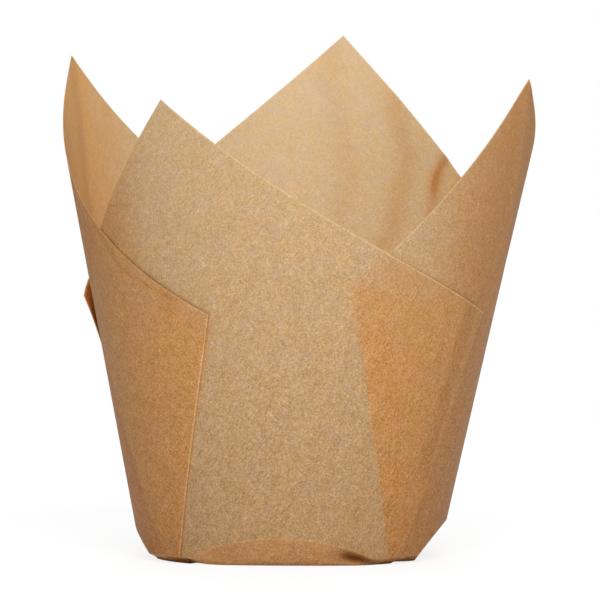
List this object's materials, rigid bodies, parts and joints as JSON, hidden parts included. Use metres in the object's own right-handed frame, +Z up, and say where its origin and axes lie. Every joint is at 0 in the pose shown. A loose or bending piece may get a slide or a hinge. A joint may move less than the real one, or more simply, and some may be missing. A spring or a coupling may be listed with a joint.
{
  "type": "cupcake liner",
  "caption": "Tulip baking cup folded from one square sheet of brown greaseproof paper, with corner petals and wedge pleats.",
  "frame": {"origin": "centre of the foot, on the surface that the cup stands on", "axes": "+Z up the middle of the cup; -Y towards the front, the side seen in the picture; +X to its right"},
  "size_m": [0.0828, 0.0841, 0.0908],
  "materials": {
    "paper": "unbleached brown greaseproof paper, matt"
  },
  "bodies": {
    "root": {"liner": "paper"}
  },
  "joints": []
}
